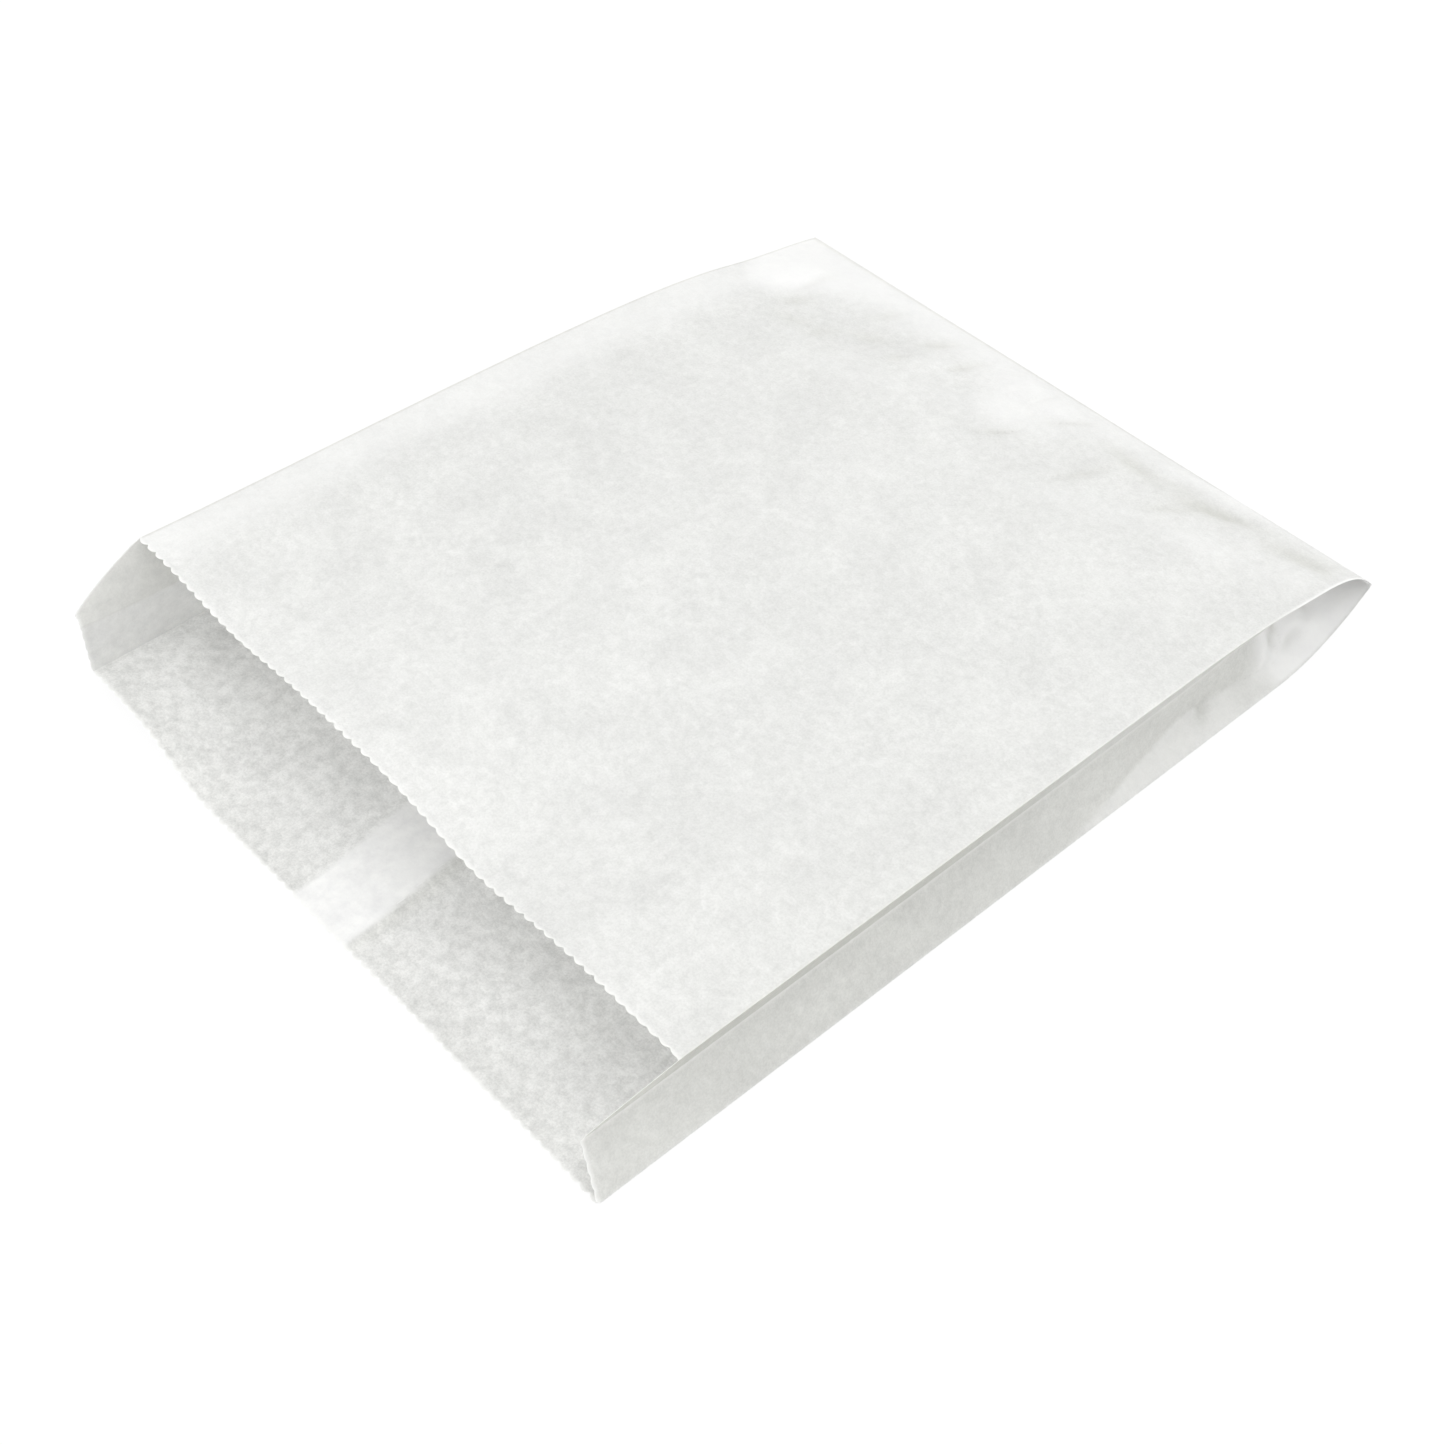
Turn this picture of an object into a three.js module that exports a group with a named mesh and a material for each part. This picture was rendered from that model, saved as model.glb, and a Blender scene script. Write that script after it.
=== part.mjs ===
// A white paper sandwich bag that lies on its back panel with its mouth open.
// Lengths are millimetres. X runs across the bag, Y from the mouth to the closed end, Z is up.
// The bag is one folded sheet: front panel on top, back panel below, a gusset at each side
// that folds inwards, a glued seam along the back panel and a closed end folded under.

import * as THREE from 'three';

// Sizes of the flat bag
const panelWidth = 165;
const backLength = 203;
const lipLength = 19.8;
const gussetHalf = 12.7;
const paperThickness = 0.06;
const seamWidth = 16.5;
const flapLength = 12;
const flapPlies = 2;

// The gusset's mouth cut: pinked up to a corner just over its centre fold, then a smooth slant
const cutCornerRise = 3;
const cutLean = 2;
const slantBow = 1.2;

// The front panel's cut runs out a little towards its right end
const frontSkew = 0.7;

// Teeth of the pinked cuts
const toothPitch = 2.8;
const toothDepth = 0.6;

// How far each gusset's centre fold sits in at the mouth, and how the gussets close
const foldInLeft = 2;
const foldInRight = 5.2;
const closeLengthLeft = 20;
const closeLengthRight = 11.4;
const leftTaper = 0.42;
const taperPower = 1.5;
const pressedHeight = 0.8;
const creaseLength = 0.8;

// The closed end stands off the table, and the back panel rises to it. The end runs at a slight
// skew, which makes the bag's right side shorter
const endHeightLeft = 6.9;
const endHeightRight = 10.1;
const endRise = 27;
const endSkew = 2.2;

// The back panel's left corner curls up at the mouth, which draws its edge back and in
const curlHeight = 4.4;
const curlHump = 2.6;
const curlWidth = 43;
const curlLength = 22;
const cornerDrawIn = 3.3;
const cornerDrawBack = 1.8;

// The front panel bows up between its side folds and sags in two places at the mouth
const crownHeight = 1;
const crownReach = 0.6;
const leftSag = { depth: 2.2, x: -47, width: 20 };
const rightSag = { depth: 4, x: 29, width: 22 };
const sagLength = 50;

// Facets
const frontColumns = 16;
const backColumns = 7;
const seamColumns = 2;
const gussetColumns = 2;
const lengthRows = 18;
const flapRows = 6;
const hemMargin = 0.4;
const edgeMargin = 1.2;
const plyStep = 0.4;
const foldRounding = 1.4;
const mitreReach = 0.8;

const frontLength = backLength - lipLength;
const halfWidth = panelWidth / 2;
const halfPaper = paperThickness / 2;
const cutCorner = gussetHalf + cutCornerRise;
const hemDepth = toothDepth + hemMargin;

const clamp01 = (v) => Math.min(1, Math.max(0, v));
const mix = (a, b, t) => a + (b - a) * t;
const smooth = (v) => clamp01(v) ** 2 * (3 - 2 * clamp01(v));
const bump = ({ depth, x, width }, at) => depth * Math.exp(-(((at - x) / width) ** 2));

// Distances s along the bag are measured from the front panel's mouth cut

// Height of the back panel over the table at x, s
function backHeight(x, s) {
  const rise = clamp01(1 - (frontLength - s) / endRise) ** 2;
  const end = mix(endHeightLeft, endHeightRight, smooth(x / panelWidth + 0.5)) * rise;
  const inFromLeft = clamp01((x + halfWidth) / curlWidth);
  const corner = curlHeight * (1 - smooth(inFromLeft));
  const hump = curlHump * Math.sin(Math.PI * inFromLeft) ** 2;
  return halfPaper + end + (corner + hump) * Math.exp(-(s + lipLength) / curlLength);
}

// Distance across a gusset from its top fold to its bottom fold
function gussetChord(side, s) {
  const foldIn = side < 0 ? foldInLeft : foldInRight;
  const closeLength = side < 0 ? closeLengthLeft : closeLengthRight;
  const taper = side < 0 ? leftTaper : 0;
  const openChord = 2 * Math.sqrt(gussetHalf ** 2 - foldIn ** 2);
  const closing = (1 - taper) * Math.exp((s - frontLength) / closeLength);
  const shut = taper * clamp01(s / frontLength) ** taperPower + closing;
  return mix(openChord, pressedHeight, shut);
}

// The three folds of one side where they cross a plane at s. side is -1 for left, 1 for right
function sideFolds(side, s) {
  const drawIn = side < 0 ? cornerDrawIn * Math.exp(-(s + lipLength) / curlLength) : 0;
  const bottom = new THREE.Vector2(side * (halfWidth - drawIn), backHeight(side * halfWidth, s));
  const topX = side * halfWidth;
  const chord = gussetChord(side, s);
  const top = new THREE.Vector2(topX, bottom.y + Math.sqrt(chord ** 2 - (topX - bottom.x) ** 2));
  const up = top.clone().sub(bottom).normalize();
  const inward = new THREE.Vector2(-side * up.y, side * up.x);
  const depth = Math.sqrt(gussetHalf ** 2 - (chord / 2) ** 2);
  const centre = top.clone().lerp(bottom, 0.5).addScaledVector(inward, depth);
  return { top, centre, bottom };
}

// Height that the front panel bows above the line between its side folds
function crown(share, s) {
  const fade = 1 - smooth((s / frontLength - crownReach) / (1 - crownReach));
  const x = mix(-halfWidth, halfWidth, share);
  const sag = (bump(leftSag, x) + bump(rightSag, x)) * Math.exp(-s / sagLength);
  return crownHeight * Math.sin(Math.PI * share) * fade - sag;
}

// Where the sheet crosses a plane at s, for a share of one panel's width, clockwise from the mouth
const panels = {
  front: (share, s) => {
    const point = sideFolds(-1, s).top.lerp(sideFolds(1, s).top, share);
    point.y += crown(share, s);
    return point;
  },
  upperRight: (share, s) => {
    const { top, centre } = sideFolds(1, s);
    return top.lerp(centre, share);
  },
  lowerRight: (share, s) => {
    const { centre, bottom } = sideFolds(1, s);
    return centre.lerp(bottom, share);
  },
  back: (share, s) => {
    const x = mix(sideFolds(1, s).bottom.x, sideFolds(-1, s).bottom.x, share);
    return new THREE.Vector2(x, backHeight(mix(halfWidth, -halfWidth, share), s));
  },
  lowerLeft: (share, s) => {
    const { centre, bottom } = sideFolds(-1, s);
    return bottom.lerp(centre, share);
  },
  upperLeft: (share, s) => {
    const { top, centre } = sideFolds(-1, s);
    return centre.lerp(top, share);
  },
};

// How far up the gusset a share lies, from the bottom fold
const riseUp = {
  upperRight: (share) => gussetHalf * (2 - share),
  lowerRight: (share) => gussetHalf * (1 - share),
  lowerLeft: (share) => gussetHalf * share,
  upperLeft: (share) => gussetHalf * (1 + share),
};

// Where the mouth is cut, before its teeth
function mouthCut(panel, share) {
  if (panel === 'front') return -frontSkew * share;
  if (panel === 'back') {
    const inFromLeft = (1 - share) * panelWidth / curlWidth;
    return cornerDrawBack * (1 - smooth(inFromLeft)) - lipLength;
  }
  const isLeft = panel.endsWith('Left');
  const rise = riseUp[panel](share);
  if (rise <= cutCorner) {
    const lowest = isLeft ? cornerDrawBack - lipLength : -lipLength;
    return mix(lowest, cutLean - lipLength, rise / cutCorner);
  }
  const along = (rise - cutCorner) / (2 * gussetHalf - cutCorner);
  const slant = mix(cutLean - lipLength, isLeft ? 0 : -frontSkew, along);
  return slant - slantBow * Math.sin(Math.PI * along);
}

// The columns of the sheet: fixed places round the bag at which each row has a point
const columns = [];
const panelStart = {};

function addPanel(panel, width, shares, plies = () => 1) {
  const last = columns.at(-1);
  panelStart[panel] = last ? last.panelEnd : 0;
  for (const share of shares) {
    const round = panelStart[panel] + share * width;
    columns.push({ panel, share, round, plies: plies(share), panelEnd: panelStart[panel] + width });
  }
}

const evenly = (from, to, count) => Array.from({ length: count }, (_, i) => mix(from, to, i / count));
const cornerShare = cutCornerRise / gussetHalf;
const seamEdge = 0.5 - seamWidth / panelWidth / 2;
const stepShare = plyStep / panelWidth;
const seamTop = [seamEdge + stepShare, 1 - seamEdge - stepShare];
const backShares = [
  ...evenly(0, seamEdge, backColumns),
  seamEdge,
  ...evenly(...seamTop, seamColumns),
  seamTop[1],
  ...evenly(1 - seamEdge, 1, backColumns),
];
const seamPlies = (share) => (share >= seamTop[0] && share <= seamTop[1] ? 2 : 1);
addPanel('front', panelWidth, evenly(0, 1, frontColumns));
addPanel('upperRight', gussetHalf, [...evenly(0, 1 - cornerShare, gussetColumns), 1 - cornerShare]);
addPanel('lowerRight', gussetHalf, evenly(0, 1, gussetColumns));
addPanel('back', panelWidth, backShares, seamPlies);
addPanel('lowerLeft', gussetHalf, evenly(0, 1, gussetColumns));
addPanel('upperLeft', gussetHalf, [0, ...evenly(cornerShare, 1, gussetColumns)]);
const roundLength = columns.at(-1).panelEnd;
const columnCount = columns.length;
const columnAt = (i) => columns[(i + columnCount) % columnCount];

const nextColumn = (i) => (i + 1) % columnCount;

// The sheet's two skins where column i crosses a plane at s. Under the back panel the outer skin
// lies lower by the plies of the end flap
function skinsAt(i, s, underPlies = 0) {
  const [before, here, after] = [i - 1, i, i + 1].map((k) => {
    const { panel, share } = columnAt(k);
    return panels[panel](share, s);
  });
  const into = here.clone().sub(before);
  const out = after.sub(here);
  const reach = mitreReach * Math.min(into.length(), out.length());
  const across = new THREE.Vector2(-into.y, into.x).normalize();
  across.add(new THREE.Vector2(-out.y, out.x).normalize());
  const mitre = paperThickness / across.length();
  const round = Math.min(mitre, foldRounding * halfPaper);
  const sharp = Math.min(mitre, Math.max(reach, halfPaper));
  const foldsOut = into.cross(out) < 0;
  across.normalize();
  const outer = here.clone().addScaledVector(across, foldsOut ? round : sharp);
  const depth = (foldsOut ? sharp : round) + (columnAt(i).plies - 1) * paperThickness;
  const inner = here.clone().addScaledVector(across, -depth);
  if (columnAt(i).panel === 'back' || columnAt(i - 1).panel === 'back') {
    outer.y -= underPlies * paperThickness;
  }
  return { outer, inner };
}

// The place along the bag of a point at x, with the closed end's skew
function skewed(x, s) {
  return s - endSkew * clamp01(x / panelWidth + 0.5) * clamp01(s / frontLength);
}

// Points of the sheet, each with a place on both skins, and its triangles seen from outside
const outerSkin = [];
const innerSkin = [];
const triangles = [];

function addPoint(i, along, s, underPlies = 0) {
  const here = skinsAt(i, s, underPlies);
  if (along > 0) {
    const next = skinsAt(nextColumn(i), s, underPlies);
    here.outer.lerp(next.outer, along);
    here.inner.lerp(next.inner, along);
  }
  outerSkin.push([here.outer.x, skewed(here.outer.x, s), here.outer.y]);
  innerSkin.push([here.inner.x, skewed(here.inner.x, s), here.inner.y]);
  return outerSkin.length - 1;
}

// Rows of the sheet: from just inside the mouth cut to the flap, then over the flap to the crease
const flapEdge = frontLength - flapLength;
const creasePlace = frontLength - creaseLength;
const crowded = (share) => 0.5 - Math.cos(Math.PI * share) / 2;
const rows = [];
for (let j = 0; j <= lengthRows; j += 1) {
  rows.push(columns.map(({ panel, share }, i) => {
    const start = mouthCut(panel, share) + hemDepth + edgeMargin;
    return addPoint(i, 0, mix(start, flapEdge - plyStep, crowded(j / lengthRows)));
  }));
}
for (let j = 0; j <= flapRows; j += 1) {
  const s = mix(flapEdge, creasePlace, Math.sin(Math.PI / 2 * j / flapRows));
  rows.push(columns.map((_, i) => addPoint(i, 0, s, flapPlies)));
}
for (let j = 0; j + 1 < rows.length; j += 1) {
  for (let i = 0; i < columnCount; i += 1) {
    const next = nextColumn(i);
    triangles.push([rows[j][i], rows[j][next], rows[j + 1][next]]);
    triangles.push([rows[j][i], rows[j + 1][next], rows[j + 1][i]]);
  }
}

// The mouth's edge from column i to the next, with the points of its teeth where it is pinked. Each
// point of the edge is paired with one on a hem line just inside the teeth
function edgeFrom(i) {
  const { panel, share, round, panelEnd } = columns[i];
  const next = columns[nextColumn(i)];
  const nextRound = next.panel === panel ? next.round : panelEnd;
  const nextShare = next.panel === panel ? next.share : 1;
  const cuts = [mouthCut(panel, share), mouthCut(panel, nextShare)];
  const addPair = (along, notch) => {
    const cut = mix(...cuts, along);
    return { edge: addPoint(i, along, cut + notch), hem: addPoint(i, along, cut + hemDepth) };
  };
  const pairs = [addPair(0, 0)];
  const isSlant = panel in riseUp && riseUp[panel](mix(share, nextShare, 0.5)) > cutCorner;
  if (isSlant) return pairs;
  const halfPitch = toothPitch / 2;
  for (let k = Math.floor(round / halfPitch) + 1; k * halfPitch < nextRound; k += 1) {
    const along = (k * halfPitch - round) / (nextRound - round);
    pairs.push(addPair(along, k % 2 ? 0 : toothDepth));
  }
  return pairs;
}

const mouthEdges = columns.map((_, i) => edgeFrom(i));
mouthEdges.forEach((pairs, i) => {
  const next = nextColumn(i);
  const chain = [...pairs, mouthEdges[next][0]];
  const half = Math.ceil(pairs.length / 2);
  for (let k = 0; k < pairs.length; k += 1) {
    const [from, to] = [chain[k], chain[k + 1]];
    triangles.push([from.edge, to.edge, to.hem]);
    triangles.push([from.edge, to.hem, from.hem]);
    triangles.push([from.hem, to.hem, rows[0][k < half ? i : next]]);
  }
  triangles.push([chain[half].hem, rows[0][next], rows[0][i]]);
});

// Points and faces of the solid. The inner skin's points follow the outer skin's
const count = outerSkin.length;
const points = [...outerSkin, ...innerSkin];
const inner = (k) => k + count;
const faces = triangles.flatMap(([a, b, c]) => [[a, b, c], [inner(c), inner(b), inner(a)]]);
const addQuad = (a, b, c, d) => faces.push([a, b, c], [a, c, d]);

// The paper's cut edge all round the mouth
const wholeEdge = mouthEdges.flat().map((pair) => pair.edge);
wholeEdge.forEach((from, k) => {
  const to = wholeEdge[(k + 1) % wholeEdge.length];
  addQuad(to, from, inner(from), inner(to));
});

// Fills the flat space between two chains of points that run from left to right
function fillBetween(upper, lower, facesMouth) {
  const addFace = (...face) => {
    if (new Set(face).size === 3) faces.push(facesMouth ? face.reverse() : face);
  };
  let i = 0;
  let j = 0;
  while (i + 1 < upper.length || j + 1 < lower.length) {
    const nextUpper = i + 1 < upper.length ? points[upper[i + 1]][0] : Infinity;
    const nextLower = j + 1 < lower.length ? points[lower[j + 1]][0] : Infinity;
    if (nextUpper <= nextLower) {
      addFace(upper[i], upper[i + 1], lower[j]);
      i += 1;
    } else {
      addFace(upper[i], lower[j + 1], lower[j]);
      j += 1;
    }
  }
}

// The last row's columns, each chain from left to right
const lastRow = rows.at(-1);
const firstOf = (panel) => columns.findIndex((column) => column.panel === panel);
const across = (from, to) => lastRow.slice(firstOf(from), firstOf(to) + 1);
const front = across('front', 'upperRight');
const back = across('back', 'lowerLeft').reverse();
const overRight = across('upperRight', 'lowerRight').reverse();
const underRight = across('lowerRight', 'back');
const underLeft = across('lowerLeft', 'upperLeft');
const overLeft = [...lastRow.slice(firstOf('upperLeft')), lastRow[0]].reverse();

// The crease closes the hollow of the bag and the pockets between the halves of each gusset
fillBetween(front.map(inner), [...overLeft, ...overRight].map(inner), true);
fillBetween([...underLeft, ...underRight].map(inner), back.map(inner), true);
fillBetween(overRight, underRight, true);
fillBetween(overLeft, underLeft, true);

// Past the crease all plies are pressed into one, up to the fold of the closed end
const pressedRing = [...front, ...back.toReversed()];
const endPoint = new Map(pressedRing.map((k) => {
  const { outer } = skinsAt(lastRow.indexOf(k), frontLength, flapPlies);
  const endPlace = skewed(outer.x, frontLength) + paperThickness;
  return [k, points.push([outer.x, endPlace, outer.y]) - 1];
}));
pressedRing.forEach((from, k) => {
  const to = pressedRing[(k + 1) % pressedRing.length];
  addQuad(from, to, endPoint.get(to), endPoint.get(from));
});
fillBetween(front.map((k) => endPoint.get(k)), back.map((k) => endPoint.get(k)), false);

const geometry = new THREE.BufferGeometry();
geometry.setAttribute('position', new THREE.Float32BufferAttribute(points.flat(), 3));
geometry.setIndex(faces.flat());

// The bag is centred over the origin and stands on z = 0
geometry.computeBoundingBox();
const { min, max } = geometry.boundingBox;
geometry.translate(-(min.x + max.x) / 2, -(min.y + max.y) / 2, -min.z);

const paper = new THREE.MeshStandardMaterial({ color: 0xf1f1ee, roughness: 0.75, metalness: 0 });
const bag = new THREE.Mesh(geometry, paper);
bag.name = 'paper_bag';

const group = new THREE.Group();
group.add(bag);

export default group;
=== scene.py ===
"""A white paper sandwich bag that lies on its back panel with its mouth open.

The sheet is worked out in millimetres and then scaled to metres. X runs across the bag, Y from
the mouth to the closed end and Z is up. Distances s along the bag start at the front panel's cut.
"""

import math

import bpy
import numpy as np
from mathutils import Matrix, Vector


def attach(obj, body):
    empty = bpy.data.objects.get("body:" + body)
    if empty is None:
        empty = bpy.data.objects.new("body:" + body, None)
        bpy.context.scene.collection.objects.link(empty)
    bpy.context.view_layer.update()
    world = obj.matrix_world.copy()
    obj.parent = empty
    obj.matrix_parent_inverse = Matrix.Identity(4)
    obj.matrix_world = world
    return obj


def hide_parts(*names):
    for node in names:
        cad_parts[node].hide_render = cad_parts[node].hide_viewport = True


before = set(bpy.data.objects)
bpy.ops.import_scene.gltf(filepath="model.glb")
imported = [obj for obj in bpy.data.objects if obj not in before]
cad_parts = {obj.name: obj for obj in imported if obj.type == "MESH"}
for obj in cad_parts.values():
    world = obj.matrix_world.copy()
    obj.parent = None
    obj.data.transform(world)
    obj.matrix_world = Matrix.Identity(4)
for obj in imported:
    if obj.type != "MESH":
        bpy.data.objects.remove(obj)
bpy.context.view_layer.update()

MM = 0.001

# Sizes of the flat bag
WIDTH = 165.0
BACK_LENGTH = 203.0
LIP = 19.8
GUSSET_HALF = 12.7
PAPER = 0.06
SEAM_WIDTH = 17.0
SEAM_LIFT = 0.6
SEAM_DROP = 1.6
SEAM_LEFT = 0.5
SEAM_WANDER = 0.5
SEAM_TURN = 0.06
FLAP = 12.0
HALF = WIDTH / 2
FRONT_LENGTH = BACK_LENGTH - LIP

# The mouth's cut
CUT_CORNER_RISE = 3.0
CUT_LEAN = 2.0
SLANT_BOW = 1.2
FRONT_SKEW = 0.7
TOOTH_DEPTH = 0.75

# How the bag stands open
FOLD_IN = {-1: 2.0, 1: 5.2}
CLOSE_LENGTH = {-1: 20.0, 1: 11.4}
TAPER = {-1: 0.42, 1: 0.0}
PRESSED = 0.8
TAPER_POWER = 1.5
END_HEIGHT = {-1: 6.9, 1: 10.1}
END_SKEW = 2.2
END_RISE = 27.0
CURL_HEIGHT = 4.4
CURL_HUMP = 2.6
CURL_WIDTH = 43.0
CURL_LENGTH = 22.0
CORNER_DRAW_IN = 3.3
CORNER_DRAW_BACK = 1.8
CROWN = 1.0
CROWN_REACH = 0.6
SAGS = [(2.2, -47.0, 20.0), (4.0, 29.0, 22.0)]
SAG_LENGTH = 50.0

# Soft waves of the front panel: x, s, half length, half width, turn in degrees and height
WAVES = [
    (48.0, 177.5, 14.0, 3.0, 5.0, 1.3),
    (75.0, 164.0, 6.0, 5.0, 70.0, 0.7),
    (58.0, 158.0, 12.0, 5.0, 5.0, 0.8),
    (-5.0, 160.0, 12.0, 5.0, 15.0, 0.8),
    (5.0, 173.0, 5.0, 4.0, 10.0, 0.7),
    (-5.0, 175.0, 5.0, 4.0, 0.0, 0.6),
    (-24.0, 163.0, 6.0, 3.0, 0.0, 0.6),
    (-70.0, 164.0, 9.0, 6.0, 100.0, 0.5),
    (34.0, 150.0, 14.0, 4.0, 25.0, 0.6),
    (-30.0, 146.0, 16.0, 5.0, 15.0, 0.5),
    (-3.0, 144.0, 5.0, 3.5, 30.0, 0.5),
]

# Sharper creases of the front panel near the closed end, in the same terms
CREASES = [
    (30.0, 170.5, 8.0, 2.4, -9.0, -1.2),
    (52.0, 171.5, 8.5, 2.4, 20.0, -1.8),
    (42.0, 172.5, 5.0, 2.2, 0.0, -0.8),
    (73.0, 172.0, 8.0, 3.6, 8.0, -1.3),
    (4.5, 156.0, 5.5, 1.6, 60.0, -0.9),
    (5.0, 166.5, 4.0, 1.5, 15.0, -0.6),
    (10.5, 171.5, 5.0, 1.5, 60.0, -0.9),
    (0.5, 174.0, 5.5, 1.3, 90.0, -0.7),
    (25.5, 158.5, 6.5, 1.7, 75.0, -0.7),
    (44.0, 162.5, 6.0, 1.9, 50.0, -0.8),
    (-30.0, 160.0, 3.5, 2.0, 70.0, -0.7),
    (-40.0, 160.5, 4.5, 2.4, 30.0, -0.7),
    (-48.0, 153.0, 4.0, 2.4, 75.0, -0.6),
    (-56.0, 151.0, 5.0, 2.4, 20.0, -0.6),
    (-62.0, 158.5, 4.5, 2.2, 80.0, -0.8),
    (-29.0, 171.5, 4.5, 2.0, 60.0, -1.0),
    (-19.0, 168.5, 6.0, 1.7, 75.0, -0.9),
    (-13.0, 161.5, 4.5, 1.6, -35.0, -0.7),
    (-66.0, 166.0, 8.0, 2.4, 95.0, -0.9),
    (-45.0, 171.0, 5.0, 2.0, 70.0, -0.6),
]

# The right gusset is pushed in along a crease that climbs from its bottom fold: s, rise and depth
GUSSET_CREASE = [
    (95.0, 0.3, 0.0),
    (131.0, 6.2, 3.1),
    (150.0, 5.0, 2.8),
    (160.0, 3.5, 1.9),
    (170.0, 3.0, 0.0),
]

# Dents of the right gusset near the closed end: s, rise, half length, half width, turn and depth.
# A negative depth pushes it out.
GUSSET_DENTS = [
    (138.0, 5.0, 3.0, 1.4, 40.0, 1.0),
    (147.0, 15.0, 9.0, 2.2, -8.0, 0.9),
    (156.0, 8.0, 6.0, 1.8, 60.0, -1.3),
    (161.0, 11.0, 6.0, 1.6, 75.0, 1.3),
    (152.0, 16.0, 8.0, 1.5, 5.0, -0.9),
    (165.0, 6.0, 4.0, 1.5, 20.0, 0.7),
    (160.0, 5.0, 6.0, 1.4, 60.0, -0.8),
    (171.0, 11.0, 4.0, 1.6, 80.0, 0.9),
    (167.0, 8.0, 5.0, 1.6, -50.0, -1.1),
    (166.0, 15.0, 5.0, 1.8, 45.0, 0.9),
]

# Tones of the front panel: shares of lightening, painted light and painted shade, and widths and places in
# millimetres
# A lighter strip along the left edge: its width, its spread along the bag, its fade and its share
STRIP_WIDTH, STRIP_SPREAD, STRIP_FADE, STRIP_LIGHTENING = 3.0, 4.0, 12.0, 0.42
# Painted light towards the closed end, where the panel slopes down to its fold: lobes that reach further in,
# where it starts, its fade, and its share from left to right
END_LOBES = [(18.0, -74.0, 12.0), (13.0, 2.0, 11.0), (6.0, 62.0, 18.0)]
END_START, END_FADE, END_PAINTED_LIGHT = 163.0, 16.0, (0.8, 0.03)
# Painted dark lines along the closed end's fold and the left fold
END_LINE, END_LINE_SHADE, LEFT_LINE_SHADE = 0.9, 0.7, 0.8
# Painted highlight on the raised waves and painted shade in the creases
RIDGE_HIGHLIGHT, CREASE_SHADE = 0.28, 0.75
# Painted highlight along the folds: its width and strength
FOLD_LINE, FOLD_HIGHLIGHT = 0.4, 0.6

# Tones of the back panel
SEAM_SOFTNESS, SEAM_SHADOW, SEAM_SHADE = 0.8, 6.0, 0.3
LIP_FADE, LIP_SHADE = 14.0, 0.12

# Tones of the gussets: painted light on the right gusset's facet, tip and outward crumples, and painted shade
FACET_START, FACET_FADE, FACET_SOFTNESS, FACET_DIM, FACET_PAINTED_LIGHT = 96.0, 4.0, 0.9, 140.0, 0.5
TIP_START, TIP_FADE = 150.0, 12.0
CRUMPLE_PAINTED_LIGHT, CRUMPLE_SHADE, GUSSET_SHADE = 0.6, 0.5, 0.35
UNDER_FOLD_SHADE = 0.8
LEFT_PLY = 0.6
LEFT_SHADE = {"upper_left": 0.4, "lower_left": 0.1}

# Columns and rows of the sheet
PANEL_COLUMNS = 236
GUSSET_COLUMNS = 18
TOOTH_COLUMNS = 4
FAR_ROWS = 24
NEAR_END_ROWS = 50
NEAR_END_SHARE = 0.62
EDGE_MARGIN = 1.0
WRAP_ROWS = 5
FLAP_ROWS = 6


def clamp01(v):
    return np.clip(v, 0.0, 1.0)


def mix(a, b, t):
    return a + (b - a) * t


def smooth(v):
    v = clamp01(v)
    return v * v * (3 - 2 * v)


def across(x):
    """0 at the left folds, 1 at the right ones."""
    return clamp01(x / WIDTH + 0.5)


def bump(depth, place, width, x):
    return depth * np.exp(-(((x - place) / width) ** 2))


def seam_place(x, s):
    """Distance to the right of the seam strip's middle, which wanders a little."""
    return x + SEAM_LEFT + SEAM_WANDER * np.sin(s / 6.0) + SEAM_TURN * (s + LIP)


def seam_rise(x, s):
    """The strip lifts towards its free right edge."""
    place = seam_place(x, s)
    climb = clamp01(place / SEAM_WIDTH + 0.5)
    return climb**1.5 * clamp01((SEAM_WIDTH / 2 + SEAM_DROP - place) / SEAM_DROP)


def back_height(x, s):
    """Height of the back panel's middle layer over the table."""
    rise = clamp01(1 - (FRONT_LENGTH - s) / END_RISE) ** 2
    end = mix(END_HEIGHT[-1], END_HEIGHT[1], smooth(across(x))) * rise
    in_left = clamp01((x + HALF) / CURL_WIDTH)
    corner = CURL_HEIGHT * (1 - smooth(in_left)) + CURL_HUMP * np.sin(np.pi * in_left) ** 2
    seam = SEAM_LIFT * seam_rise(x, s) * (1 - rise)
    return PAPER / 2 + end + seam + corner * np.exp(-(s + LIP) / CURL_LENGTH)


def gusset_chord(side, s):
    """Distance across a gusset from its top fold to its bottom fold."""
    taper = TAPER[side]
    open_chord = 2 * math.sqrt(GUSSET_HALF**2 - FOLD_IN[side] ** 2)
    closing = (1 - taper) * np.exp((s - FRONT_LENGTH) / CLOSE_LENGTH[side])
    shut = taper * clamp01(s / FRONT_LENGTH) ** TAPER_POWER + closing
    return mix(open_chord, PRESSED, shut)


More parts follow.
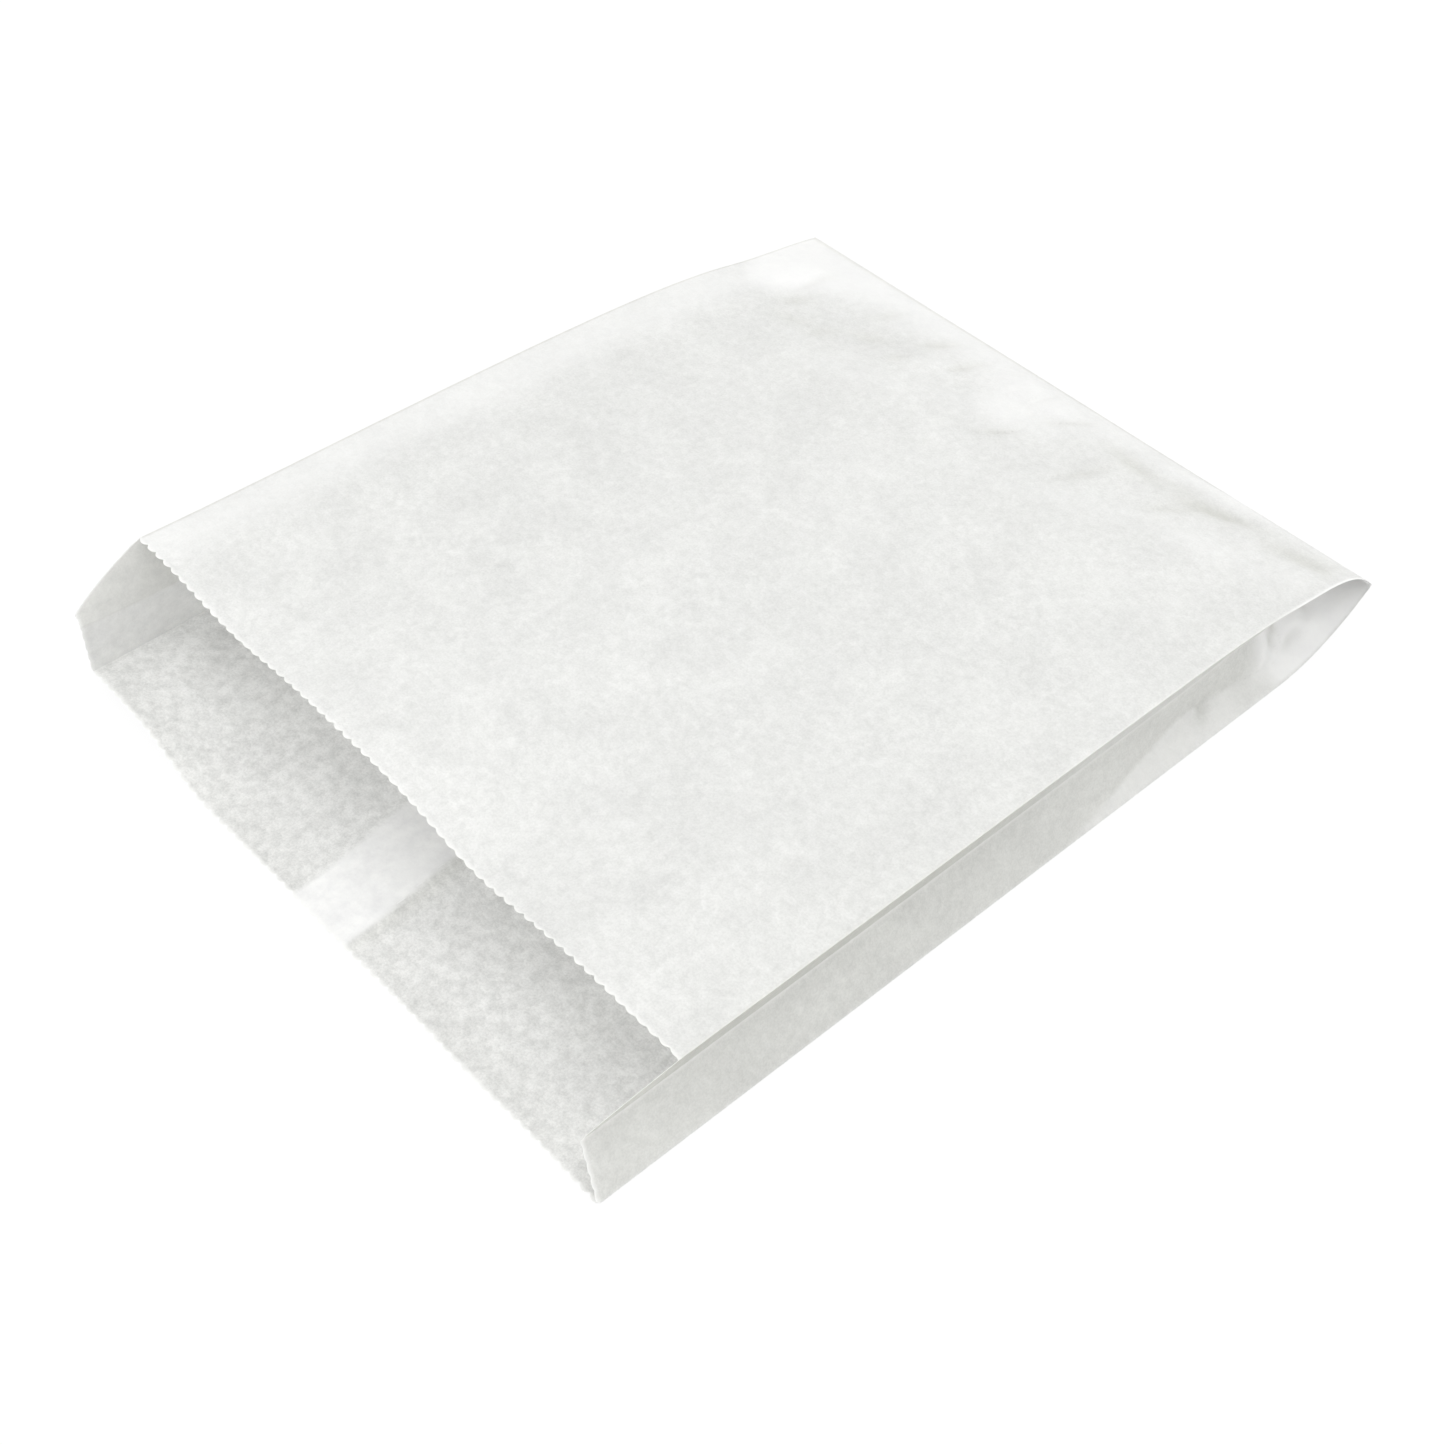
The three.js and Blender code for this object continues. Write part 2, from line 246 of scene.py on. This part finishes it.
def side_folds(side, s):
    """The top, centre and bottom folds of one side, each as x and z."""
    draw_in = CORNER_DRAW_IN * np.exp(-(s + LIP) / CURL_LENGTH) if side < 0 else 0.0
    bottom_x = side * (HALF - draw_in)
    bottom_z = back_height(side * HALF, s)
    top_x = side * HALF + 0.0 * s
    chord = gusset_chord(side, s)
    top_z = bottom_z + np.sqrt(chord**2 - (top_x - bottom_x) ** 2)
    up = np.stack([top_x - bottom_x, top_z - bottom_z]) / chord
    depth = np.sqrt(GUSSET_HALF**2 - (chord / 2) ** 2)
    centre = np.stack([top_x + bottom_x, top_z + bottom_z]) / 2
    centre = centre + depth * np.stack([-side * up[1], side * up[0]])
    return np.stack([top_x, top_z]), centre, np.stack([bottom_x + 0.0 * s, bottom_z])


def crown(share, s):
    """How far the front panel bows above the line between its side folds."""
    fade = 1 - smooth((s / FRONT_LENGTH - CROWN_REACH) / (1 - CROWN_REACH))
    x = mix(-HALF, HALF, share)
    sag = sum(bump(*place, x) for place in SAGS) * np.exp(-s / SAG_LENGTH)
    return CROWN * np.sin(np.pi * share) * fade - sag


def dent(places, x, s, sharp=False):
    """Sum of long bumps, each with a place, a half length and width, a turn and a height."""
    total = 0.0 * x
    for x0, s0, half_length, half_width, turn, height in places:
        c, d = math.cos(math.radians(turn)), math.sin(math.radians(turn))
        along, aside = (x - x0) * c + (s - s0) * d, (s - s0) * c - (x - x0) * d
        slope = np.sqrt(1 + (3.0 * aside / half_width) ** 2) / 2 if sharp else (aside / half_width) ** 2
        total += height * np.exp(-((along / half_length) ** 2) - slope)
    return total


def front_relief(x, s):
    """Height of the front panel's waves and creases, which fade out at its edges."""
    edge = smooth((HALF - np.abs(x)) / 6.0) * smooth((FRONT_LENGTH - s) / 5.0)
    return edge * (dent(WAVES, x, s) + dent(CREASES, x, s, sharp=True))


def gusset_line(s):
    """Where the right gusset's long crease runs and how deep it is."""
    places, line, depth = np.array(GUSSET_CREASE).T
    return np.interp(s, places, line), np.interp(s, places, depth)


def gusset_push(rise, s):
    """How far the right gusset is pushed in, by its long crease and its dents."""
    line, depth = gusset_line(s)
    below, above = rise / line, (GUSSET_HALF - rise) / (GUSSET_HALF - line)
    folds = np.sin(np.pi * rise / GUSSET_HALF) ** 2
    return depth * clamp01(np.minimum(below, above)) + folds * dent(GUSSET_DENTS, s, rise)


def detailed_point(panel, share, s):
    """A panel's point with its wrinkles and creases."""
    point = panel_point(panel, share, s)
    if panel == "front":
        x = mix(-HALF, HALF, share) + 0.0 * s
        return point + np.stack([0.0 * s, front_relief(x, s)])
    if "right" in panel:
        span = panel_point(panel, 1.0, s) - panel_point(panel, 0.0, s)
        outward = np.stack([-span[1], span[0]]) / np.hypot(*span)
        return point - outward * gusset_push(rise_up(panel, share) + 0.0 * s, s)
    return point


def panel_point(panel, share, s):
    """x and z where a panel crosses a plane at s, for a share of its width."""
    left, right = side_folds(-1, s), side_folds(1, s)
    if panel == "front":
        point = mix(left[0], right[0], share)
        return point + np.stack([0.0 * s, crown(share, s)])
    if panel == "upper_right":
        return mix(right[0], right[1], share)
    if panel == "lower_right":
        return mix(right[1], right[2], share)
    if panel == "back":
        x = mix(right[2][0], left[2][0], share)
        return np.stack([x, back_height(mix(HALF, -HALF, share) + 0.0 * s, s)])
    if panel == "lower_left":
        return mix(left[2], left[1], share)
    return mix(left[1], left[0], share)


def rise_up(panel, share):
    """Distance up the gusset from its bottom fold."""
    return GUSSET_HALF * {
        "upper_right": 2 - share,
        "lower_right": 1 - share,
        "lower_left": share,
        "upper_left": 1 + share,
    }[panel]


def mouth_cut(panel, share):
    """Where the mouth is cut, before its teeth."""
    if panel == "front":
        return -FRONT_SKEW * share
    if panel == "back":
        return CORNER_DRAW_BACK * (1 - smooth((1 - share) * WIDTH / CURL_WIDTH)) - LIP
    side_short = CORNER_DRAW_BACK if "left" in panel else 0.0
    top_cut = -FRONT_SKEW if "right" in panel else 0.0
    rise = rise_up(panel, share)
    corner = GUSSET_HALF + CUT_CORNER_RISE
    pinked = mix(-LIP + side_short, -LIP + CUT_LEAN, rise / corner)
    along = clamp01((rise - corner) / (2 * GUSSET_HALF - corner))
    slant = mix(-LIP + CUT_LEAN, top_cut, along) - SLANT_BOW * np.sin(np.pi * along)
    return np.where(rise <= corner, pinked, slant)


def teeth(panel, share, column):
    """How far the pinked cut is notched in: small uneven scallops with sharp notches."""
    scallop = (1 - np.sin(np.pi * column / TOOTH_COLUMNS) ** 2) ** 2
    uneven = 0.78 + 0.22 * np.sin(column * 1.7 + 1.0) * np.cos(column / 17.0)
    notch = TOOTH_DEPTH * uneven * scallop + 0.12 * np.sin(column / 9.0)
    if panel in ("front", "back"):
        return notch
    return np.where(rise_up(panel, share) < GUSSET_HALF + CUT_CORNER_RISE, 0.35 * notch, 0.0)


PANELS = [
    ("front", WIDTH, PANEL_COLUMNS),
    ("upper_right", GUSSET_HALF, GUSSET_COLUMNS),
    ("lower_right", GUSSET_HALF, GUSSET_COLUMNS),
    ("back", WIDTH, PANEL_COLUMNS),
    ("lower_left", GUSSET_HALF, GUSSET_COLUMNS),
    ("upper_left", GUSSET_HALF, GUSSET_COLUMNS),
]


def sheet_grid():
    """Points of the folded sheet, rows by columns, and what each column is."""
    rows = np.concatenate(
        [
            np.linspace(0, NEAR_END_SHARE, FAR_ROWS, endpoint=False),
            np.linspace(NEAR_END_SHARE, 1, NEAR_END_ROWS),
        ]
    )
    blocks, looks, starts = [], [], []
    first_column = 0
    for panel, width, count in PANELS:
        share = np.arange(count) / count
        cut = mouth_cut(panel, share) + 0.0 * share
        inner = mix((cut + EDGE_MARGIN)[None, :], FRONT_LENGTH, rows[:, None])
        first = (cut + teeth(panel, share, first_column + np.arange(count)))[None, :]
        s = np.concatenate([first, inner])
        x, z = detailed_point(panel, share[None, :] + 0.0 * s, s)
        blocks.append(np.stack([x, s, z], axis=2))
        looks.append(paper_looks(panel, share[None, :] + 0.0 * s, s, width))
        starts.append(first_column)
        first_column += count
    return np.concatenate(blocks, axis=1), np.concatenate(looks, axis=1), starts


def front_tones(x, s):
    """Lighter along the left edge, painted light towards the closed end and on raised waves, painted shade in
    its creases and at the closed end's fold.
    """
    strip = 1 - smooth((x + HALF - STRIP_WIDTH - STRIP_SPREAD * s / FRONT_LENGTH) / STRIP_FADE)
    lobes = sum(bump(*lobe, x) for lobe in END_LOBES)
    end = smooth((s + lobes - END_START) / END_FADE)
    relief = front_relief(x, s)
    fold = np.exp(-(((FRONT_LENGTH - s) / END_LINE) ** 2))
    ply_and_painted_light = np.maximum(STRIP_LIGHTENING * strip, end * mix(*END_PAINTED_LIGHT, across(x)))
    # Painted highlight where the waves rise
    ply_and_painted_light = clamp01(ply_and_painted_light + RIDGE_HIGHLIGHT * clamp01(relief))
    return ply_and_painted_light, np.maximum(CREASE_SHADE * clamp01(-relief), END_LINE_SHADE * fold)


def back_tones(x, s):
    """The seam strip has two plies, with soft painted shade to its right and on the lip."""
    place = seam_place(x, s)
    ply_and_painted_light = smooth((SEAM_WIDTH / 2 + SEAM_SOFTNESS / 2 - np.abs(place)) / SEAM_SOFTNESS)
    beside = place - SEAM_WIDTH / 2
    shadow = smooth(beside / SEAM_SOFTNESS) * (1 - smooth(beside / SEAM_SHADOW))
    lip = (1 - ply_and_painted_light) * (1 - smooth((s + LIP) / LIP_FADE))
    return ply_and_painted_light, np.maximum(SEAM_SHADE * shadow, LIP_SHADE * lip)


def right_tones(rise, s):
    """Painted light on the facet under the gusset's long crease and on its tip, painted light on crumples
    pushed out and painted shade on those pushed in, and painted shade over the rest of the gusset, less on
    the facet and tip.
    """
    crumple = dent(GUSSET_DENTS, s, rise)
    facet = smooth((gusset_line(s)[0] - rise) / FACET_SOFTNESS + 0.5) * smooth((s - FACET_START) / FACET_FADE)
    facet = FACET_PAINTED_LIGHT * facet * (1 - 0.5 * smooth((s - FACET_DIM) / TIP_FADE))
    # Painted light on the facet and the tip
    lighter = np.maximum(facet, smooth((s - TIP_START) / TIP_FADE))
    ply_and_painted_light = clamp01(lighter - CRUMPLE_PAINTED_LIGHT * crumple)
    shade = np.maximum(GUSSET_SHADE * (1 - 0.75 * lighter), CRUMPLE_SHADE * clamp01(crumple))
    return ply_and_painted_light, shade


def paper_looks(panel, share, s, width):
    """How far the sheet is backed by other plies together with painted light, the painted highlight at its
    folds and cut edges, and painted shade.
    """
    to_fold = np.minimum(share, 1 - share) * width
    edge = FOLD_HIGHLIGHT * np.exp(-((to_fold / FOLD_LINE) ** 2))
    if panel == "front":
        ply_and_painted_light, shade = front_tones(mix(-HALF, HALF, share), s)
        edge[:, 0] = 0.0
        shade[:, 0] = LEFT_LINE_SHADE
    elif panel == "back":
        ply_and_painted_light, shade = back_tones(mix(HALF, -HALF, share), s)
        edge = 0.0 * s
    elif "right" in panel:
        ply_and_painted_light, shade = right_tones(rise_up(panel, share) + 0.0 * s, s)
        if panel == "upper_right":
            shade = np.maximum(shade, UNDER_FOLD_SHADE * (1 - smooth((s - 60.0) / 80.0)))
    else:
        ply_and_painted_light, shade = LEFT_PLY + 0.0 * s, LEFT_SHADE[panel] + 0.0 * s
        edge = 0.0 * s
    # Painted highlight along the mouth's cut edge
    edge[0] = 1.0
    return np.stack([ply_and_painted_light, edge, shade], axis=2)


def end_flap(front_end):
    """Rows that carry the front panel round the closed end and under the back panel."""
    x, s_end, z_top = front_end.T
    z_back = back_height(x, s_end)
    radius = (z_top - z_back) / 2 + PAPER
    rows = []
    for k in range(1, WRAP_ROWS + 1):
        angle = math.pi * (0.5 - k / WRAP_ROWS)
        s = s_end + 0.6 * radius * math.cos(angle)
        rows.append(np.stack([x, s, z_back + (radius - PAPER) + radius * math.sin(angle)], axis=1))
    for k in range(1, FLAP_ROWS + 1):
        s = s_end - FLAP * k / FLAP_ROWS
        rows.append(np.stack([x, s, back_height(x, s) - PAPER * 1.5], axis=1))
    return np.stack(rows)


def grid_faces(index):
    """Quads between the rows of an index grid."""
    return np.stack([index[:-1, :-1], index[:-1, 1:], index[1:, 1:], index[1:, :-1]], axis=2).reshape(-1, 4)


def point_normals(points, faces):
    across_face = points[faces[:, 2]] - points[faces[:, 0]]
    along_face = points[faces[:, 3]] - points[faces[:, 1]]
    face_normals = np.cross(across_face, along_face)
    normals = np.zeros_like(points)
    for corner in range(4):
        np.add.at(normals, faces[:, corner], face_normals)
    return normals / np.maximum(np.linalg.norm(normals, axis=1, keepdims=True), 1e-12)


def open_edges(faces, count):
    """Directed edges that only one face uses."""
    starts = faces.ravel()
    ends = np.roll(faces, -1, axis=1).ravel()
    alone = ~np.isin(starts * count + ends, ends * count + starts)
    return starts[alone], ends[alone]


def build_bag():
    """The folded sheet as one closed shell of the paper's thickness."""
    grid, looks, starts = sheet_grid()
    row_count, column_count = grid.shape[:2]
    index = np.arange(row_count * column_count).reshape(row_count, column_count)
    ringed = np.concatenate([index, index[:, :1]], axis=1)
    front_end = ringed[-1, : PANEL_COLUMNS + 1]
    points = grid.reshape(-1, 3)
    flap = end_flap(points[front_end])
    flap_index = len(points) + np.arange(flap.shape[0] * flap.shape[1]).reshape(flap.shape[:2])
    faces = np.concatenate([grid_faces(ringed), grid_faces(np.concatenate([front_end[None], flap_index]))])
    points = np.concatenate([points, flap.reshape(-1, 3)])
    count = len(points)

    fold_line = np.zeros(count, dtype=int)
    for number, start in enumerate(starts):
        fold_line[index[:, start]] = number + 1
    flap_looks = np.tile([1.0, 0.0, 0.0], (flap_index.size, 1))
    looks = np.concatenate([looks.reshape(-1, 3), flap_looks])

    points[:, 1] -= END_SKEW * across(points[:, 0]) * clamp01(points[:, 1] / FRONT_LENGTH)
    normals = point_normals(points, faces)
    skins = np.concatenate([points + normals * PAPER / 2, points - normals * PAPER / 2])
    start, end = open_edges(faces, count)
    walls = np.stack([end, start, start + count, end + count], axis=1)
    inner = faces[:, ::-1] + count
    quads = np.concatenate([faces, inner, walls])
    material = np.repeat([0, 1, 0], [len(faces), len(inner), len(walls)])

    lowest, highest = skins.min(axis=0), skins.max(axis=0)
    skins -= [(lowest[0] + highest[0]) / 2, (lowest[1] + highest[1]) / 2, lowest[2]]

    mesh = bpy.data.meshes.new("bag")
    mesh.from_pydata((skins * MM).tolist(), [], quads.tolist())
    mesh.polygons.foreach_set("material_index", material.astype(np.int32))
    mesh.polygons.foreach_set("use_smooth", np.ones(len(quads), dtype=bool))
    for name, values in zip(("ply_and_painted_light", "edge", "shade"), looks.T):
        attribute = mesh.attributes.new(name, "FLOAT", "POINT")
        attribute.data.foreach_set("value", np.tile(values, 2).astype(np.float32))
    mesh.set_sharp_from_angle(angle=math.radians(55))
    mark_folds(mesh, np.tile(fold_line, 2))
    mesh.update()
    bag = bpy.data.objects.new("bag", mesh)
    bpy.context.scene.collection.objects.link(bag)
    return bag


def mark_folds(mesh, fold_line):
    ends = np.empty(len(mesh.edges) * 2, dtype=np.int32)
    mesh.edges.foreach_get("vertices", ends)
    ends = ends.reshape(-1, 2)
    sharp = np.empty(len(mesh.edges), dtype=bool)
    mesh.edges.foreach_get("use_edge_sharp", sharp)
    sharp |= (fold_line[ends[:, 0]] > 0) & (fold_line[ends[:, 0]] == fold_line[ends[:, 1]])
    mesh.edges.foreach_set("use_edge_sharp", sharp)


def new_material(name):
    material = bpy.data.materials.new(name)
    material.use_nodes = True
    material.node_tree.nodes.clear()
    return material, material.node_tree


def add_node(tree, kind, **inputs):
    node = tree.nodes.new(kind)
    for name, value in inputs.items():
        node.inputs[name.replace("_", " ")].default_value = value
    return node


def noise(tree, places, scale, detail, roughness=0.5):
    node = add_node(tree, "ShaderNodeTexNoise", Scale=scale, Detail=detail, Roughness=roughness)
    tree.links.new(places, node.inputs["Vector"])
    return node.outputs["Fac"]


def ramp(tree, value, low, high, start, end):
    """A colour that goes from start to end as the value goes from low to high."""
    node = tree.nodes.new("ShaderNodeValToRGB")
    stops = node.color_ramp.elements
    stops[0].position, stops[0].color = low, (*start, 1)
    stops[1].position, stops[1].color = high, (*end, 1)
    tree.links.new(value, node.inputs["Fac"])
    return node.outputs["Color"]


def blend_colour(tree, factor, first, second, mode="MIX"):
    node = tree.nodes.new("ShaderNodeMix")
    node.data_type = "RGBA"
    node.blend_type = mode
    for socket, value in ((node.inputs[0], factor), (node.inputs[6], first), (node.inputs[7], second)):
        if isinstance(value, bpy.types.NodeSocket):
            tree.links.new(value, socket)
        else:
            socket.default_value = value
    return node.outputs[2]


def attribute(tree, name):
    node = tree.nodes.new("ShaderNodeAttribute")
    node.attribute_name = name
    return node.outputs["Fac"]


EDGE_HIGHLIGHT_WHITE = (0.985, 0.985, 0.975, 1)
SHADED = (0.84, 0.84, 0.81, 1)
THROUGH = 0.5
THROUGH_PLIES = 0.3
PLY_AND_PAINTED_LIGHT_WHITE = (0.99, 0.99, 0.982)
CLOUD_DARK = 0.965

# Noise scales of the paper, in repeats per metre
GRAIN_SCALE = 1400.0
FLECK_SCALE = 2300.0
CLOUD_SCALE = 75.0
PLY_SCALE = 260.0


def thickness_mix(tree):
    """The share of light that comes through: less where other plies back the sheet and where light is
    painted.
    """
    node = tree.nodes.new("ShaderNodeMapRange")
    node.inputs["To Min"].default_value = THROUGH
    node.inputs["To Max"].default_value = THROUGH_PLIES
    tree.links.new(attribute(tree, "ply_and_painted_light"), node.inputs["Value"])
    return node.outputs["Result"]


def paper_material(name, light, dark, mottle_range, mottle_scale, flecks, plies_and_painted_light_dark, backed):
    """Thin bleached paper: uneven fibre clouds, a paler look where other plies back it that also carries
    painted light, painted shade, a painted highlight at its folds and cut edges, and light that comes
    through.
    """
    material, tree = new_material(name)
    places = tree.nodes.new("ShaderNodeTexCoord").outputs["Object"]
    mottle = noise(tree, places, mottle_scale, 6.0, 0.75)
    colour = ramp(tree, mottle, *mottle_range, dark, light)
    fine = ramp(tree, noise(tree, places, FLECK_SCALE, 2.0, 0.6), 0.35, 0.65, (flecks,) * 3, (1.0,) * 3)
    colour = blend_colour(tree, 1.0, colour, fine, "MULTIPLY")
    cloud = noise(tree, places, CLOUD_SCALE, 5.0, 0.6)
    clouds = ramp(tree, cloud, 0.38, 0.62, (CLOUD_DARK,) * 3, (1.0,) * 3)
    colour = blend_colour(tree, 1.0, colour, clouds, "MULTIPLY")
    strip = noise(tree, places, PLY_SCALE, 6.0, 0.8)
    # The look of paper backed by other plies, also used for painted light
    plies_and_painted_light = ramp(tree, strip, 0.34, 0.62, (plies_and_painted_light_dark,) * 3, PLY_AND_PAINTED_LIGHT_WHITE)
    colour = blend_colour(tree, attribute(tree, "ply_and_painted_light"), colour, plies_and_painted_light)
    colour = blend_colour(tree, attribute(tree, "shade"), colour, SHADED, "MULTIPLY")
    # Painted highlight along the folds and cut edges
    colour = blend_colour(tree, attribute(tree, "edge"), colour, EDGE_HIGHLIGHT_WHITE)
    grain = add_node(tree, "ShaderNodeBump", Strength=0.25, Distance=0.00004)
    tree.links.new(noise(tree, places, GRAIN_SCALE, 3.0), grain.inputs["Height"])
    face = add_node(tree, "ShaderNodeBsdfPrincipled", Roughness=0.72)
    face.inputs["Specular IOR Level"].default_value = 0.3
    through = tree.nodes.new("ShaderNodeBsdfTranslucent")
    both = tree.nodes.new("ShaderNodeMixShader")
    if backed:
        tree.links.new(thickness_mix(tree), both.inputs[0])
    else:
        both.inputs[0].default_value = THROUGH
    output = tree.nodes.new("ShaderNodeOutputMaterial")
    tree.links.new(colour, face.inputs["Base Color"])
    tree.links.new(colour, through.inputs["Color"])
    tree.links.new(grain.outputs["Normal"], face.inputs["Normal"])
    tree.links.new(face.outputs[0], both.inputs[1])
    tree.links.new(through.outputs[0], both.inputs[2])
    tree.links.new(both.outputs[0], output.inputs["Surface"])
    return material


def seen_directly(tree):
    """1 for rays that show the background as it is, 0 for those that carry light."""
    rays = tree.nodes.new("ShaderNodeLightPath")
    value = rays.outputs["Is Camera Ray"]
    for name in ("Is Glossy Ray", "Is Transmission Ray"):
        node = tree.nodes.new("ShaderNodeMath")
        node.operation = "MAXIMUM"
        tree.links.new(value, node.inputs[0])
        tree.links.new(rays.outputs[name], node.inputs[1])
        value = node.outputs[0]
    return value


FLOOR_SIDE = 6.0
FLOOR_GAP = 0.0002
FLOOR_SHADOW_SHARE = 0.1
FLOOR_GREY = 0.74
BACKGROUND_WHITE = 1.04


def make_floor():
    half = FLOOR_SIDE / 2
    mesh = bpy.data.meshes.new("floor")
    corners = [(-half, -half, 0), (half, -half, 0), (half, half, 0), (-half, half, 0)]
    mesh.from_pydata(corners, [], [(0, 1, 2, 3)])
    floor = bpy.data.objects.new("floor", mesh)
    floor.location.z = -FLOOR_GAP
    bpy.context.scene.collection.objects.link(floor)
    material, tree = new_material("floor")
    matt = add_node(tree, "ShaderNodeBsdfDiffuse", Color=(FLOOR_GREY, FLOOR_GREY, FLOOR_GREY, 1))
    white = add_node(tree, "ShaderNodeEmission", Color=(1, 1, 1, 1), Strength=BACKGROUND_WHITE)
    pale = tree.nodes.new("ShaderNodeMixShader")
    pale.inputs[0].default_value = 1 - FLOOR_SHADOW_SHARE
    shown = tree.nodes.new("ShaderNodeMixShader")
    output = tree.nodes.new("ShaderNodeOutputMaterial")
    tree.links.new(matt.outputs[0], pale.inputs[1])
    tree.links.new(white.outputs[0], pale.inputs[2])
    tree.links.new(seen_directly(tree), shown.inputs[0])
    tree.links.new(matt.outputs[0], shown.inputs[1])
    tree.links.new(pale.outputs[0], shown.inputs[2])
    tree.links.new(shown.outputs[0], output.inputs["Surface"])
    mesh.materials.append(material)


WORLD_LIGHT = 0.752


def make_world():
    world = bpy.data.worlds.new("studio")
    bpy.context.scene.world = world
    world.use_nodes = True
    tree = world.node_tree
    tree.nodes.clear()
    light = add_node(tree, "ShaderNodeBackground", Color=(1, 1, 1, 1), Strength=WORLD_LIGHT)
    white = add_node(tree, "ShaderNodeBackground", Color=(1, 1, 1, 1), Strength=1.0)
    shown = tree.nodes.new("ShaderNodeMixShader")
    output = tree.nodes.new("ShaderNodeOutputWorld")
    tree.links.new(seen_directly(tree), shown.inputs[0])
    tree.links.new(light.outputs[0], shown.inputs[1])
    tree.links.new(white.outputs[0], shown.inputs[2])
    tree.links.new(shown.outputs[0], output.inputs["Surface"])


def add_lamp(name, place, side, watts):
    data = bpy.data.lights.new(name, "AREA")
    data.shape = "SQUARE"
    data.size = side
    data.energy = watts
    lamp = bpy.data.objects.new(name, data)
    lamp.location = place
    lamp.rotation_euler = (-Vector(place)).to_track_quat("-Z", "Y").to_euler()
    bpy.context.scene.collection.objects.link(lamp)


# The photo's camera: it looks down over the mouth's right corner
AZIMUTH = math.radians(50.448)
ELEVATION = math.radians(47.135)
ROLL = math.radians(-2.549)
DISTANCE = 0.46795
TARGET = (0.014615, -0.013934, 0.0)
SENSOR = 36.0
FOCAL_PIXELS = 2373.0
FRAME_PIXELS = 1445.0


def make_camera():
    back = Vector(
        (
            math.sin(AZIMUTH) * math.cos(ELEVATION),
            -math.cos(AZIMUTH) * math.cos(ELEVATION),
            math.sin(ELEVATION),
        )
    )
    right = Vector((math.cos(AZIMUTH), math.sin(AZIMUTH), 0.0))
    up = back.cross(right)
    turned_right = right * math.cos(ROLL) + up * math.sin(ROLL)
    turned_up = up * math.cos(ROLL) - right * math.sin(ROLL)
    data = bpy.data.cameras.new("camera")
    data.sensor_width = SENSOR
    data.lens = FOCAL_PIXELS / FRAME_PIXELS * SENSOR
    data.clip_start = 0.01
    camera = bpy.data.objects.new("camera", data)
    turn = Matrix((turned_right, turned_up, back)).transposed().to_4x4()
    camera.matrix_world = Matrix.Translation(Vector(TARGET) + back * DISTANCE) @ turn
    bpy.context.scene.collection.objects.link(camera)
    bpy.context.scene.camera = camera


make_camera()

bag = build_bag()
outside = paper_material(
    "paper_outside",
    light=(0.985, 0.987, 0.978),
    dark=(0.9, 0.903, 0.891),
    mottle_range=(0.35, 0.65),
    mottle_scale=560.0,
    flecks=0.93,
    plies_and_painted_light_dark=0.95,
    backed=True,
)
inside = paper_material(
    "paper_inside",
    light=(0.995, 0.995, 0.985),
    dark=(0.825, 0.827, 0.815),
    mottle_range=(0.36, 0.6),
    mottle_scale=400.0,
    flecks=0.9,
    plies_and_painted_light_dark=0.89,
    backed=False,
)
bag.data.materials.append(outside)
bag.data.materials.append(inside)
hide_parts("paper_bag")
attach(bag, "root")

make_floor()
make_world()
add_lamp("overhead", (0.08, 0.0, 1.0), 0.9, 4.5)
add_lamp("window", (0.3, 1.8, 0.95), 1.2, 11.5)
add_lamp("front", (-0.05, -0.9, 0.3), 0.5, 0.3)
add_lamp("side", (1.0, 0.15, 0.2), 0.5, 1.35)

bpy.context.scene.view_settings.view_transform = "Standard"
